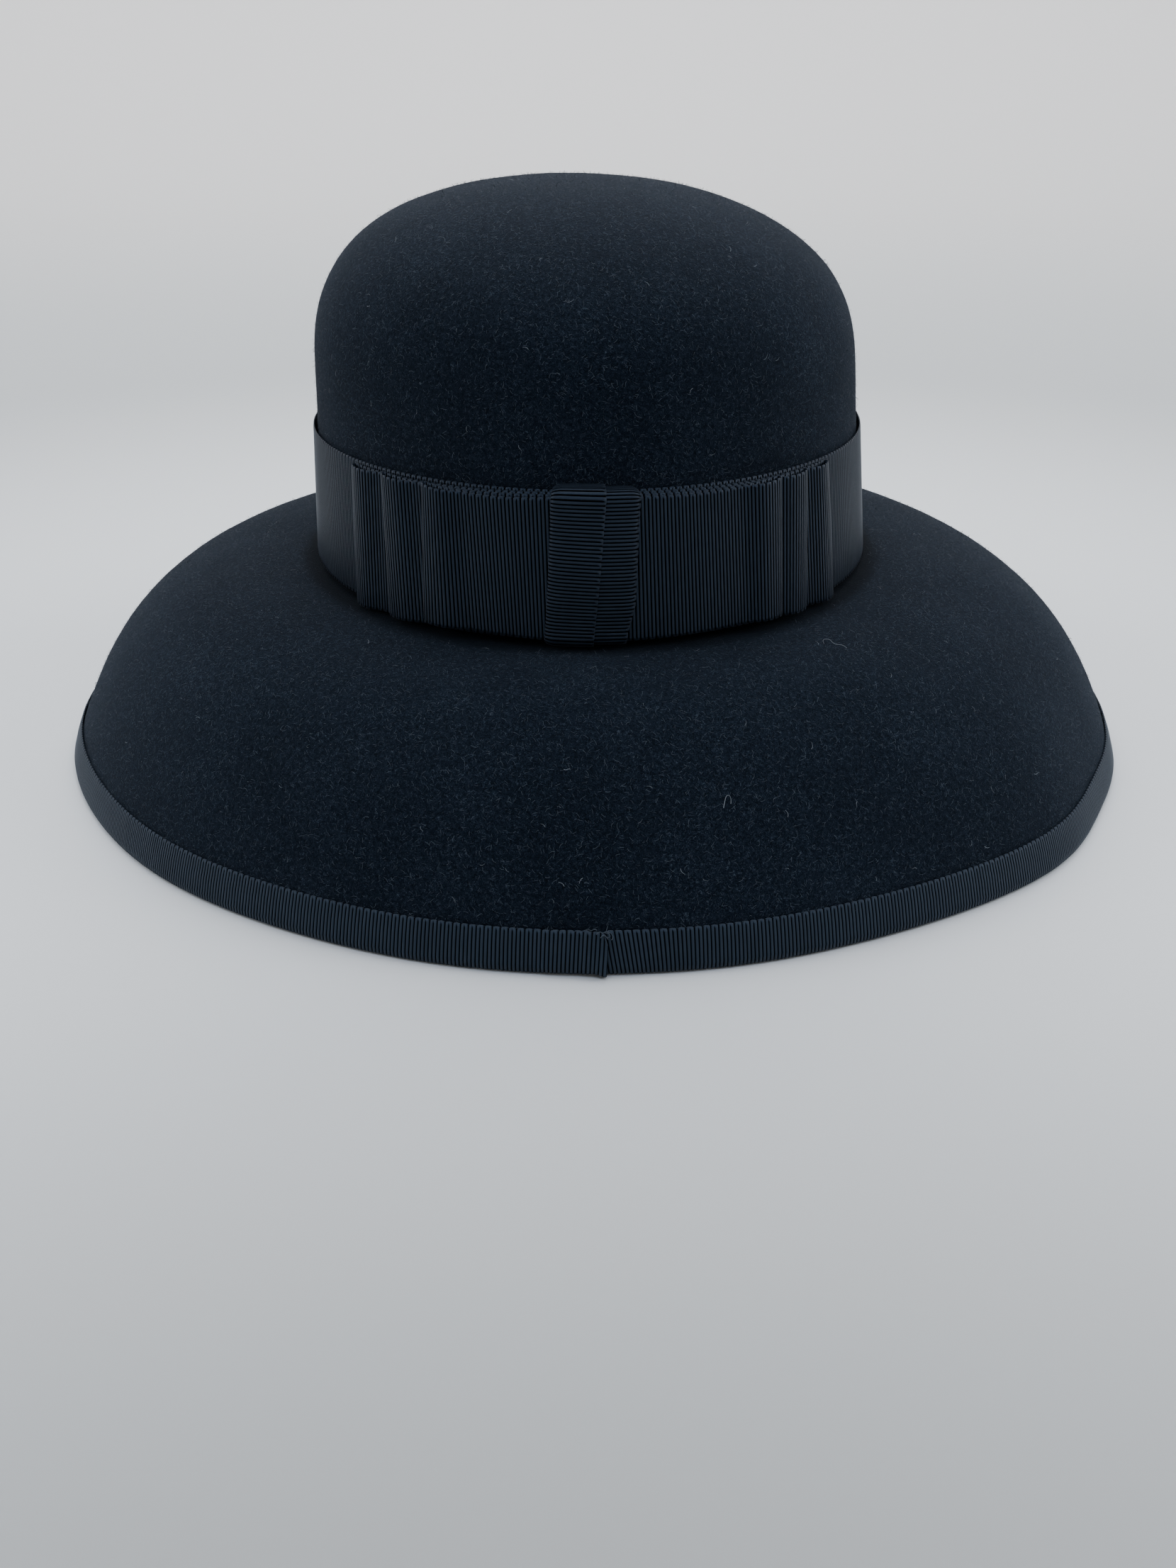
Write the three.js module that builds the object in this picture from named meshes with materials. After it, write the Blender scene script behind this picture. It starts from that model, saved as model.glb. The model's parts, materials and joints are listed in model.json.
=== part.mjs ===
// A droop brim felt hat: rounded crown, bell-shaped brim, ribbed band with a flat bow, bound rim.
// Millimetres, +Z up. The rim rests on Z = 0 and the back of the hat, with the bow, faces -Y.
import * as THREE from 'three';

// Walls and clearances
const FELT_WALL = 2;
const RIBBON_WALL = 1;
const GAP = 0.3;

// Crown: the outside of the felt, measured at its foot from the crown's own centre
const CROWN_HALF_WIDTH = 85.2;
const CROWN_HALF_DEPTH = 103;
const CROWN_HEIGHT = 110;
const CROWN_TAPER = 2.8;
const CROWN_STRAIGHT = 17;
const CROWN_TILT = 1.6;
const DOME_ROUNDNESS = 2.32;
const DOME_LEAN = 5;
const DOME_LEAN_CURVE = 1.6;

// Brim: its height where it leaves the crown, how far the felt reaches past the crown, and how much lower
// the felt's inner edge lies at the rim than its outer one, as a share of the wall
const BRIM_LEVEL = 61.5;
const BRIM_REACH_SIDE = 84.7;
const BRIM_REACH_BACK = 67.4;
const BRIM_REACH_FRONT = 80.4;
const BRIM_SHIFT = 1;
const BREAK_RADIUS = 3;
const RIM_TILT = 0.35;

// Ribbons
const BINDING_REACH = 9.6;
const BINDING_LAP = 12;
const BINDING_LAP_RISE = 0.7;
const BINDING_JOIN = 2.5;
const BINDING_STEP = 0.1;
const BAND_HEIGHT = 38.4;
const BAND_CLEARANCE = 2.3;
const BAND_FLARE = 0.5;

// Bow: loops of ribbon folded double and pressed flat, with a small open eye in each fold, stacked outwards
// from the band, and the knot round their middle
const LOOP_THICKNESS = 1;
const LOOP_REACH_LEFT = 74.5;
const LOOP_REACH_RIGHT = 79.4;
const LOOP_START = 0.5;
const FOLD_SWELL = 1.1;
const FOLD_LENGTH = 9;
const EYE_RADIUS = 0.3;
const KNOT_WIDTH = 21.8;
const KNOT_SKEW = 2.6;
const KNOT_CENTRE = 1;
const KNOT_CORNER = 1.8;
const KNOT_COVER = 0.7;

// Spacing of the facets
const SEGMENTS = 80;
const DOME_ROWS = 9;
const BREAK_ROWS = 3;
const BRIM_ROWS = 6;
const BRIM_SAMPLES = 40;
const LOOP_STEP = 8;
const FOLD_STEPS = 4;
const CORNER_STEPS = 2;
const LOOP_LEVELS = [1, 0.5, 0];
const GIRTH_SAMPLES = 2000;
const ANGLE_STEP = 0.01;
const TURN_STEP = 0.001;
const LENGTH_STEP = 0.5;

// The brim's line from the crown to the rim, as shares of its reach and its drop
const BRIM_LINE = [
  { reach: 0, drop: 0 },
  { reach: 0.14, drop: 0.008 },
  { reach: 0.75, drop: -0.145 },
  { reach: 1, drop: 1 },
];

// Soft dents and swells of the brim: where round the hat (0 is the right side, -90 the back), how wide,
// how far the rim moves out as a share of the reach, and how far the middle lifts as a share of the drop
const BRIM_DENTS = [
  { at: -13, spread: 7, out: -0.008, lift: 0.012 },
  { at: -27, spread: 7, out: -0.016, lift: 0 },
  { at: -42, spread: 8, out: 0.018, lift: -0.015 },
  { at: -64, spread: 12, out: -0.02, lift: 0.012 },
  { at: -120, spread: 14, out: -0.022, lift: -0.012 },
  { at: -149, spread: 17, out: -0.026, lift: 0.014 },
  { at: 60, spread: 22, out: 0.01, lift: 0.02 },
  { at: 132, spread: 20, out: -0.01, lift: -0.015 },
];

// Soft dents of the crown: where round it, how wide, how high up its dome, over how much of its rise, and how
// deep as a share of its width
const CROWN_DENTS = [
  { at: 0, spread: 40, height: 0.55, rise: 0.25, depth: -0.03 },
  { at: 180, spread: 40, height: 0.8, rise: 0.25, depth: -0.016 },
  { at: 75, spread: 26, height: 0.85, rise: 0.25, depth: 0.02 },
];

// Each loop's layer out from the band, its reach as a share of its side's longest and, as shares of the band's
// height, how far its top edge dips half way and at the fold and how far its lower edge hangs past the band's
const LOOPS = [
  { name: 'bow_loop_left_1', side: -1, layer: 2, reach: 0.58, topMiddle: 0.04, topFold: 0, hang: -0.03 },
  { name: 'bow_loop_left_2', side: -1, layer: 1, reach: 0.78, topMiddle: 0.024, topFold: 0.006, hang: 0.004 },
  { name: 'bow_loop_left_3', side: -1, layer: 0, reach: 1, topMiddle: 0.012, topFold: 0.02, hang: 0.024 },
  { name: 'bow_loop_right_1', side: 1, layer: 2, reach: 0.66, topMiddle: 0.03, topFold: 0, hang: -0.03 },
  { name: 'bow_loop_right_2', side: 1, layer: 1, reach: 0.81, topMiddle: 0.02, topFold: 0.006, hang: -0.008 },
  { name: 'bow_loop_right_3', side: 1, layer: 0, reach: 1, topMiddle: 0.01, topFold: 0.016, hang: 0.012 },
];

// The knot from its left edge to its right: share of its width, and whether the folded-over layer covers it
const KNOT_SECTIONS = [
  { across: 0, cover: 0.6 },
  { across: 0.04, cover: 1 },
  { across: 0.33, cover: 1 },
  { across: 0.6, cover: 1 },
  { across: 0.635, cover: 0 },
  { across: 0.96, cover: 0 },
  { across: 1, cover: -0.3 },
];

// Places worked out from the sizes above
const UP = new THREE.Vector3(0, 0, 1);
const BACK = -Math.PI / 2;
const FELT_EDGE = RIBBON_WALL + GAP + RIM_TILT * FELT_WALL;
const BAND_BOTTOM = BRIM_LEVEL + BAND_CLEARANCE;
const BAND_TOP = BAND_BOTTOM + BAND_HEIGHT;
const DOME_LEVEL = BAND_TOP + CROWN_STRAIGHT;
const CROWN_TOP = BRIM_LEVEL + CROWN_HEIGHT;
const LOOP_PITCH = LOOP_THICKNESS + GAP;
const LAYERS = 1 + Math.max(...LOOPS.map((row) => row.layer));

const felt = new THREE.MeshStandardMaterial({ color: 0x18212a, roughness: 0.95, metalness: 0 });
const ribbon = new THREE.MeshStandardMaterial({ color: 0x141c25, roughness: 0.6, metalness: 0 });
const binding = new THREE.MeshStandardMaterial({ color: 0x1b242c, roughness: 0.65, metalness: 0 });

function angleOf(segment) {
  return (segment / SEGMENTS) * 2 * Math.PI;
}

// A bump of height 1 at a place round the hat, fading out over its spread, both in degrees
function bump(angle, at, spread) {
  const away = THREE.MathUtils.euclideanModulo(THREE.MathUtils.radToDeg(angle) - at + 180, 360) - 180;
  return Math.exp(-((away / spread) ** 2));
}

function sum(rows, value) {
  return rows.reduce((total, row) => total + value(row), 0);
}

// How far up the crown's straight side a height is: 0 at its foot, 1 where the dome starts
function sideShare(height) {
  const foot = BRIM_LEVEL + BREAK_RADIUS;
  return (height - foot) / (DOME_LEVEL - foot);
}

// A point beside the crown: its height, and how far outside the felt it is
function sidePoint(angle, outside, height) {
  const share = Math.max(sideShare(height), 0);
  const inset = CROWN_TAPER * share - outside;
  return new THREE.Vector3(
    (CROWN_HALF_WIDTH - inset) * Math.cos(angle) - CROWN_TILT * share,
    (CROWN_HALF_DEPTH - inset) * Math.sin(angle),
    height,
  );
}

// A point of the dome; tilt goes from 0 where the dome starts to a right angle at the top
function domePoint(angle, tilt) {
  const c = Math.cos(tilt);
  const s = Math.sin(tilt);
  const size = (c ** DOME_ROUNDNESS + s ** DOME_ROUNDNESS) ** (-1 / DOME_ROUNDNESS);
  const high = s * size;
  const dent = sum(CROWN_DENTS, (row) => row.depth * bump(angle, row.at, row.spread)
    * Math.exp(-(((high - row.height) / row.rise) ** 2)));
  const wide = c * size * (1 - dent * high);
  return new THREE.Vector3(
    (CROWN_HALF_WIDTH - CROWN_TAPER) * wide * Math.cos(angle) - CROWN_TILT
      - DOME_LEAN * high ** DOME_LEAN_CURVE,
    (CROWN_HALF_DEPTH - CROWN_TAPER) * wide * Math.sin(angle),
    DOME_LEVEL + (CROWN_TOP - DOME_LEVEL) * high,
  );
}

// The small bend between the crown's side and the brim; turn goes from 0 to a right angle
function breakPoint(angle, turn) {
  const outside = BREAK_RADIUS * (1 - Math.cos(turn));
  return sidePoint(angle, outside, BRIM_LEVEL + BREAK_RADIUS * (1 - Math.sin(turn)));
}

function brimLinePoint(share) {
  const a = (1 - share) ** 3;
  const b = 3 * (1 - share) ** 2 * share;
  const c = 3 * (1 - share) * share ** 2;
  const d = share ** 3;
  const [p, q, r, s] = BRIM_LINE;
  return {
    reach: a * p.reach + b * q.reach + c * r.reach + d * s.reach,
    drop: a * p.drop + b * q.drop + c * r.drop + d * s.drop,
  };
}

function brimSample(angle, share) {
  const { reach, drop } = brimLinePoint(share);
  const root = breakPoint(angle, Math.PI / 2);
  const longways = Math.sin(angle) < 0 ? BRIM_REACH_BACK : BRIM_REACH_FRONT;
  const out = 1 + sum(BRIM_DENTS, (row) => row.out * bump(angle, row.at, row.spread));
  const lift = sum(BRIM_DENTS, (row) => row.lift * bump(angle, row.at, row.spread));
  const rimX = BRIM_SHIFT + (CROWN_HALF_WIDTH + BRIM_REACH_SIDE * out) * Math.cos(angle);
  const rimY = (CROWN_HALF_DEPTH + longways * out) * Math.sin(angle);
  const swell = 4 * reach * (1 - reach) * lift;
  return new THREE.Vector3(
    root.x + (rimX - root.x) * reach,
    root.y + (rimY - root.y) * reach,
    BRIM_LEVEL - (BRIM_LEVEL - FELT_EDGE) * (drop - swell),
  );
}

// The brim's line at one angle, with each point's distance from the rim measured along the felt
const brimLines = new Map();
function brimLine(angle) {
  const key = angle.toFixed(6);
  if (!brimLines.has(key)) {
    const points = [];
    for (let i = 0; i <= BRIM_SAMPLES; i += 1) {
      points.push({ place: brimSample(angle, 1 - i / BRIM_SAMPLES), distance: 0 });
      if (i > 0) {
        points[i].distance = points[i - 1].distance + points[i].place.distanceTo(points[i - 1].place);
      }
    }
    brimLines.set(key, points);
  }
  return brimLines.get(key);
}

function brimLength(angle) {
  return brimLine(angle)[BRIM_SAMPLES].distance;
}

// The point of the brim's upper face at a distance from the rim; a little past either end goes straight on
function brimPoint(angle, distance) {
  const line = brimLine(angle);
  let i = 1;
  while (i < BRIM_SAMPLES && line[i].distance < distance) {
    i += 1;
  }
  const before = line[i - 1];
  const after = line[i];
  const share = (distance - before.distance) / (after.distance - before.distance);
  return before.place.clone().lerp(after.place, share);
}

// Moves a point of a surface along the surface's own normal
function raised(surface, angle, station, offset, step) {
  const around = surface(angle + ANGLE_STEP, station).sub(surface(angle - ANGLE_STEP, station));
  const down = surface(angle, station + step).sub(surface(angle, station - step));
  const normal = down.cross(around).normalize();
  return surface(angle, station).addScaledVector(normal, offset);
}

function raisedBrim(angle, distance, offset) {
  return raised((a, d) => brimPoint(a, -d), angle, -distance, offset, LENGTH_STEP);
}

// Collects rings of points and the faces between them
class Solid {
  constructor() {
    this.points = [];
    this.faces = [];
  }

  add(points) {
    const first = this.points.length;
    this.points.push(...points);
    return { first, size: points.length };
  }

  // Joins two rings along some of their points, taken in order
  joinAlong(a, b, order) {
    for (let k = 0; k < order.length; k += 1) {
      const i = order[k];
      const j = order[(k + 1) % order.length];
      this.faces.push([a.first + i, b.first + i, b.first + j]);
      this.faces.push([a.first + i, b.first + j, a.first + j]);
    }
  }

  join(a, b) {
    this.joinAlong(a, b, [...Array(a.size).keys()]);
  }

  joinAll(rings) {
    for (let i = 1; i < rings.length; i += 1) {
      this.join(rings[i - 1], rings[i]);
    }
  }

  openFrom(tip, ring) {
    for (let i = 0; i < ring.size; i += 1) {
      this.faces.push([tip.first, ring.first + i, ring.first + ((i + 1) % ring.size)]);
    }
  }

  closeTo(ring, tip) {
    for (let i = 0; i < ring.size; i += 1) {
      this.faces.push([ring.first + i, tip.first, ring.first + ((i + 1) % ring.size)]);
    }
  }

  cap(ring, triangles, reversed) {
    for (const [a, b, c] of triangles) {
      const face = reversed ? [a, c, b] : [a, b, c];
      this.faces.push(face.map((corner) => ring.first + corner));
    }
  }

  mesh(name, material) {
    const geometry = new THREE.BufferGeometry().setFromPoints(this.points);
    geometry.setIndex(this.faces.flat());
    geometry.computeVertexNormals();
    const mesh = new THREE.Mesh(geometry, material);
    mesh.name = name;
    return mesh;
  }
}

function ringOf(solid, place) {
  const points = [];
  for (let i = 0; i < SEGMENTS; i += 1) {
    points.push(place(angleOf(i)));
  }
  return solid.add(points);
}

// The rows of the felt from the dome down to the rim; each gives the point at an angle and an offset from the
// felt's upper face
function feltRows() {
  const domeStep = Math.PI / 2 / DOME_ROWS;
  const breakStep = Math.PI / 2 / BREAK_ROWS;
  const rows = [];
  for (let i = 1; i <= DOME_ROWS; i += 1) {
    const turn = i * domeStep - TURN_STEP;
    rows.push((angle, offset) => (
      raised((a, s) => domePoint(a, Math.PI / 2 - s), angle, turn, offset, TURN_STEP)));
  }
  rows.push((angle, offset) => raised((a, s) => sidePoint(a, 0, -s), angle, -BAND_TOP, offset, LENGTH_STEP));
  for (let i = 0; i <= BREAK_ROWS; i += 1) {
    rows.push((angle, offset) => raised(breakPoint, angle, i * breakStep, offset, TURN_STEP));
  }
  for (let i = 1; i <= BRIM_ROWS; i += 1) {
    rows.push((angle, offset) => {
      const length = brimLength(angle);
      return raisedBrim(angle, length + ((BINDING_REACH - length) * i) / BRIM_ROWS, offset);
    });
  }
  rows.push((angle, offset) => raisedBrim(angle, BINDING_REACH / 2, offset));
  rows.push((angle, offset) => raisedBrim(angle, 0, offset));
  return rows;
}

function feltBody() {
  const solid = new Solid();
  const rows = feltRows();
  const crownTip = domePoint(0, Math.PI / 2);
  const outerTip = solid.add([crownTip]);
  const outer = rows.map((row) => ringOf(solid, (angle) => row(angle, 0)));
  const inner = rows.map((row) => ringOf(solid, (angle) => row(angle, -FELT_WALL))).reverse();
  const innerTip = solid.add([crownTip.clone().addScaledVector(UP, -FELT_WALL)]);
  solid.openFrom(outerTip, outer[0]);
  solid.joinAll([...outer, ...inner]);
  solid.closeTo(inner[inner.length - 1], innerTip);
  return solid.mesh('felt_body', felt);
}

// How far the lapped end of the binding stands over the ribbon beneath it
function lapRise(angle) {
  const arc = (angle - BACK) * (CROWN_HALF_DEPTH + BRIM_REACH_BACK);
  const before = BINDING_JOIN - arc;
  return before >= 0 && before <= BINDING_LAP ? BINDING_LAP_RISE * (1 - before / BINDING_LAP) : 0;
}

// The angles of the binding's sections: the felt's own, and a close pair at the edge of the lapped end
function bindingAngles() {
  const radius = CROWN_HALF_DEPTH + BRIM_REACH_BACK;
  const join = BACK + BINDING_JOIN / radius;
  const angles = [join - BINDING_STEP / radius, join + BINDING_STEP / radius];
  for (let i = 0; i < SEGMENTS; i += 1) {
    const angle = angleOf(i) - Math.PI;
    if (Math.abs(angle - join) * radius > RIBBON_WALL) {
      angles.push(angle);
    }
  }
  return angles.sort((a, b) => a - b);
}

function brimBinding() {
  const solid = new Solid();
  const angles = bindingAngles();
  const over = GAP + RIBBON_WALL;
  const under = -FELT_WALL - over;
  const middle = BINDING_REACH / 2;
  // The point under the rim's edge where a layer of the fold reaches a height
  const foot = (angle, offset, height) => {
    const point = raisedBrim(angle, 0, offset);
    const lower = raisedBrim(angle, -LENGTH_STEP, offset);
    const share = (point.z - height) / (point.z - lower.z);
    return point.lerp(lower, share);
  };
  const section = [
    (a) => raisedBrim(a, BINDING_REACH, over + lapRise(a)),
    (a) => raisedBrim(a, middle, over + lapRise(a)),
    (a) => foot(a, over + lapRise(a), RIBBON_WALL),
    (a) => foot(a, over / 2 + lapRise(a), 0),
    (a) => foot(a, under + over / 2, 0),
    (a) => foot(a, under, RIBBON_WALL),
    (a) => raisedBrim(a, middle, under),
    (a) => raisedBrim(a, BINDING_REACH, under),
    (a) => raisedBrim(a, BINDING_REACH, -FELT_WALL - GAP),
    (a) => raisedBrim(a, middle, -FELT_WALL - GAP),
    (a) => foot(a, -FELT_WALL - GAP, RIBBON_WALL),
    (a) => foot(a, GAP, RIBBON_WALL),
    (a) => raisedBrim(a, middle, GAP),
    (a) => raisedBrim(a, BINDING_REACH, GAP),
  ];
  const rings = section.map((place) => solid.add(angles.map(place)));
  solid.joinAll([...rings, rings[0]]);
  return solid.mesh('brim_binding', binding);
}

// A point over the band's inner face, which stands a little off the felt towards its lower edge
function bandPlace(angle, height, offset) {
  const flare = (BAND_FLARE * (BAND_TOP - height)) / BAND_HEIGHT;
  return sidePoint(angle, GAP + flare + offset, height);
}

function hatBand() {
  const solid = new Solid();
  const corners = [
    [RIBBON_WALL, BAND_TOP],
    [RIBBON_WALL, BAND_BOTTOM],
    [0, BAND_BOTTOM],
    [0, BAND_TOP],
  ];
  const rings = corners.map(([offset, height]) => ringOf(solid, (a) => bandPlace(a, height, offset)));
  solid.joinAll([...rings, rings[0]]);
  return solid.mesh('hat_band', ribbon);
}

const bandOval = new THREE.EllipseCurve(0, 0, CROWN_HALF_WIDTH, CROWN_HALF_DEPTH, BACK, BACK + 2 * Math.PI);
bandOval.arcLengthDivisions = GIRTH_SAMPLES;
const bandGirth = bandOval.getLength();

// The angle round the crown at a distance from the middle of the back, along the foot of the crown
function angleAt(arc) {
  const share = THREE.MathUtils.euclideanModulo(arc / bandGirth, 1);
  return BACK + bandOval.getUtoTmapping(share) * 2 * Math.PI;
}

// A point over the band: distance along it, height, and how far out from its outer face
function bowPoint(arc, height, offset) {
  return bandPlace(angleAt(arc), height, RIBBON_WALL + offset);
}

function smooth(share) {
  return THREE.MathUtils.smoothstep(share, 0, 1);
}

// A loop seen from above: points as [out from the band, along it towards the fold], the closed outlines of
// the loop and of the eye in its fold, and the triangles between them
function loopPlan(layer, reach) {
  const inner = GAP + layer * LOOP_PITCH;
  const round = (LOOP_THICKNESS + FOLD_SWELL) / 2;
  const turn = reach - round;
  const steps = Math.ceil((turn - LOOP_START) / LOOP_STEP);
  const along = [];
  for (let i = 0; i < steps; i += 1) {
    along.push(LOOP_START + ((turn - FOLD_LENGTH - LOOP_START) * i) / (steps - 1));
  }
  along.push(turn - FOLD_LENGTH / 2);
  const swell = (y) => FOLD_SWELL * smooth((y - turn + FOLD_LENGTH) / FOLD_LENGTH);
  const arc = (radius) => {
    const points = [];
    for (let i = 0; i <= FOLD_STEPS; i += 1) {
      const angle = Math.PI * (1 - i / FOLD_STEPS);
      points.push([inner + round + radius * Math.cos(angle), turn + radius * Math.sin(angle)]);
    }
    return points;
  };
  const points = [];
  const add = (group) => group.map((point) => points.push(point) - 1);
  const near = add(along.map((y) => [inner, y]));
  const far = add(along.map((y) => [inner + LOOP_THICKNESS + swell(y), y]));
  const fold = add(arc(round));
  const eye = add(arc(EYE_RADIUS));
  const last = near.length - 1;
  const [tip] = add([[(points[near[last]][0] + points[far[last]][0]) / 2, along[last]]]);
  const triangles = [
    [near[last - 1], near[last], tip],
    [near[last - 1], tip, far[last - 1]],
    [far[last - 1], tip, far[last]],
  ];
  const strip = (a, b, c, d) => triangles.push([a, b, c], [a, c, d]);
  for (let i = 1; i < last; i += 1) {
    strip(near[i - 1], near[i], far[i], far[i - 1]);
  }
  strip(near[last], fold[0], eye[0], tip);
  for (let i = 1; i <= FOLD_STEPS; i += 1) {
    strip(fold[i - 1], fold[i], eye[i], eye[i - 1]);
  }
  strip(fold[FOLD_STEPS], far[last], tip, eye[FOLD_STEPS]);
  const outlines = [[...near, ...fold, ...[...far].reverse()], [tip, ...[...eye].reverse()]];
  return { points, outlines, triangles };
}

function bowLoop(row) {
  const longest = row.side < 0 ? LOOP_REACH_LEFT : LOOP_REACH_RIGHT;
  const reach = longest * row.reach;
  const place = ([out, along], level) => {
    const share = along / reach;
    const dip = row.topMiddle * 4 * share * (1 - share) + row.topFold * share;
    const top = BAND_TOP - BAND_HEIGHT * dip;
    const bottom = BAND_BOTTOM - BAND_HEIGHT * row.hang * smooth(share);
    return bowPoint(row.side * along, bottom + (top - bottom) * level, out);
  };
  const { points, outlines, triangles } = loopPlan(row.layer, reach);
  const mirrored = row.side > 0;
  const solid = new Solid();
  const levels = LOOP_LEVELS.map((level) => solid.add(points.map((point) => place(point, level))));
  for (const outline of outlines) {
    const order = mirrored ? [...outline].reverse() : outline;
    for (let i = 1; i < levels.length; i += 1) {
      solid.joinAlong(levels[i - 1], levels[i], order);
    }
  }
  solid.cap(levels[0], triangles, mirrored);
  solid.cap(levels[levels.length - 1], triangles, !mirrored);
  return solid.mesh(row.name, ribbon);
}

// A quarter turn of the knot's section round a corner
function corner(out, height, radius, from) {
  const points = [];
  for (let i = 0; i <= CORNER_STEPS; i += 1) {
    const angle = from + (i / CORNER_STEPS) * (Math.PI / 2);
    points.push([out + radius * Math.cos(angle), height + radius * Math.sin(angle)]);
  }
  return points;
}

// The knot's section, out from the band and up: it wraps the loops and ends just off the felt
function knotSection(cover) {
  const inner = LAYERS * LOOP_PITCH + GAP;
  const front = inner + RIBBON_WALL + KNOT_COVER * cover;
  const top = BAND_TOP + GAP;
  const bottom = BAND_BOTTOM - GAP;
  const backTop = -RIBBON_WALL;
  const backBottom = BREAK_RADIUS - RIBBON_WALL;
  const lip = RIBBON_WALL;
  return [
    [backBottom, bottom - lip],
    ...corner(front - KNOT_CORNER, bottom - lip + KNOT_CORNER, KNOT_CORNER, -Math.PI / 2),
    ...corner(front - KNOT_CORNER, top + lip - KNOT_CORNER, KNOT_CORNER, 0),
    [backTop, top + lip],
    [backTop, top],
    [inner, top],
    [inner, bottom],
    [backBottom, bottom],
  ];
}

function bowKnot() {
  const solid = new Solid();
  const middle = (BAND_TOP + BAND_BOTTOM) / 2;
  const rings = KNOT_SECTIONS.map(({ across, cover }) => solid.add(knotSection(cover).map(([out, height]) => {
    const lean = (KNOT_SKEW * (height - middle)) / BAND_HEIGHT;
    return bowPoint(KNOT_CENTRE + (across - 0.5) * KNOT_WIDTH + lean, height, out);
  })));
  solid.joinAll(rings);
  const contour = knotSection(0).map(([out, height]) => new THREE.Vector2(out, height));
  const triangles = THREE.ShapeUtils.triangulateShape(contour, []);
  solid.cap(rings[0], triangles, false);
  solid.cap(rings[rings.length - 1], triangles, true);
  return solid.mesh('bow_knot', ribbon);
}

const bow = new THREE.Group();
bow.add(...LOOPS.map(bowLoop), bowKnot());

const hat = new THREE.Group();
hat.add(feltBody(), brimBinding(), hatBand(), bow);

// The origin lies under the middle of the hat, on the plane that the rim rests on
const box = new THREE.Box3().setFromObject(hat);
const middle = box.getCenter(new THREE.Vector3());
hat.position.set(-middle.x, -middle.y, -box.min.z);

export default hat;
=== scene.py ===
"""A black felt hat with a rounded crown and a wide drooping brim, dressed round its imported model.

The felt, the ribbed band with its flat bow, and the ribbon folded over the rim are built here in metres,
in the model's own frame: +Z up, the back of the hat with the bow towards -Y.
"""
import json
import math

import bpy
import numpy as np
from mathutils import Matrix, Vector
from mathutils.bvhtree import BVHTree

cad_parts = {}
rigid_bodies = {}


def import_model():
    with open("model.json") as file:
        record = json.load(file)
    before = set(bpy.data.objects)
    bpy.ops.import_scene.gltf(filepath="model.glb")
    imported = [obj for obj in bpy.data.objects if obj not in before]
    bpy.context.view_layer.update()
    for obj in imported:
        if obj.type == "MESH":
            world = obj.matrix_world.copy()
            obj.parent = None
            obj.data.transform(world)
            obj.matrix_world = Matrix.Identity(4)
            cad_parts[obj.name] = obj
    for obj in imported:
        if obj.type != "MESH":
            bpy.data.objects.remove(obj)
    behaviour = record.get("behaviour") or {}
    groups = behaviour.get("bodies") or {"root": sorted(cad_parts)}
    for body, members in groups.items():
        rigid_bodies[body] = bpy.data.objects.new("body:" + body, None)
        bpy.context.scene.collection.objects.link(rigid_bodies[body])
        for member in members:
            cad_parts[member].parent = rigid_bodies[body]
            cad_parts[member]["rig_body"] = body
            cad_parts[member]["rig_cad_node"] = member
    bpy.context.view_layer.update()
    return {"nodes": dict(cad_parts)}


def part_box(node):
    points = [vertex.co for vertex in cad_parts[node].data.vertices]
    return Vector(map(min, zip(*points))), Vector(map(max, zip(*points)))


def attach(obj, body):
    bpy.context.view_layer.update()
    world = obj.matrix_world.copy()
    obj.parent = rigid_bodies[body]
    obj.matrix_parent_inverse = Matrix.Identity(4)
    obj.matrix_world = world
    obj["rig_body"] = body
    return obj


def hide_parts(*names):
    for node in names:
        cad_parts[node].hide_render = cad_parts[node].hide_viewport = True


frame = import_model()

MM = 0.001

# Grosgrain: cords about 1 mm apart, as they are in the photograph
RIB_PITCH = 0.98 * MM
RIB_HEIGHT = 0.19 * MM
GROOVE_HALF = 0.07 * MM
RIB_SHAPE = (0.0, 0.8, 1.0, 0.8)
# At both selvedges the weft turns back round two cords at a time, so every pair of ribs ends in one arch
ARCH_SHAPE = (0.0, 0.62, 0.88, 0.97, 1.0, 0.97, 0.88, 0.62)
PICOT = 0.3 * MM
SELVEDGE = 0.8 * MM
SELVEDGE_THICKNESS = 0.75
CORD_HALF = GROOVE_HALF + RIB_HEIGHT
# The warp threads that run over the cords, in the millimetres of the ribbon's own map, and how far apart the
# bands of a wave texture lie at scale 1
WARP_PITCH = 0.22
WAVE_PITCH = math.pi / 10

# The oval that the band stands round, and how it leans towards its top edge
band_low, band_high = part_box("hat_band")
BAND_CENTRE = (band_low + band_high) / 2
BAND_HALF = (band_high - band_low) / 2
BAND_BOTTOM = band_low.z
BAND_TOP = band_high.z
BAND_HEIGHT = BAND_TOP - BAND_BOTTOM
BAND_LEAN_IN = 2.43 * MM
BAND_LEAN_LEFT = 1.1 * MM
BAND_OFF_FELT = 1.8 * MM
OVAL_STEPS = 1440

# Bow: each loop's layer, how far it reaches, how much further its fold reaches at the bottom than at the
# top, how far the ribs between knot and fold slant the same way, how its top edge dips and its lower edge
# hangs as shares of the band's height, and how deep the soft dent by the top of its fold is
LOOP_PITCH = 1.3 * MM
LOOP_GAP = 0.3 * MM
LOOP_START = 0.5 * MM
# A fold is a small round under a long soft hump that sinks back to the pressed ribbon
FOLD_UNDER = 0.45 * MM
FOLD_RISE = 2.2 * MM
FOLD_LENGTH = 6 * MM
FOLD_SINK = 7.5 * MM
# Places along a loop's flat parts and round the two parts of its fold
LOOP_STEPS = 60
UNDER_STEPS = 6
HUMP_STEPS = 24
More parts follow.
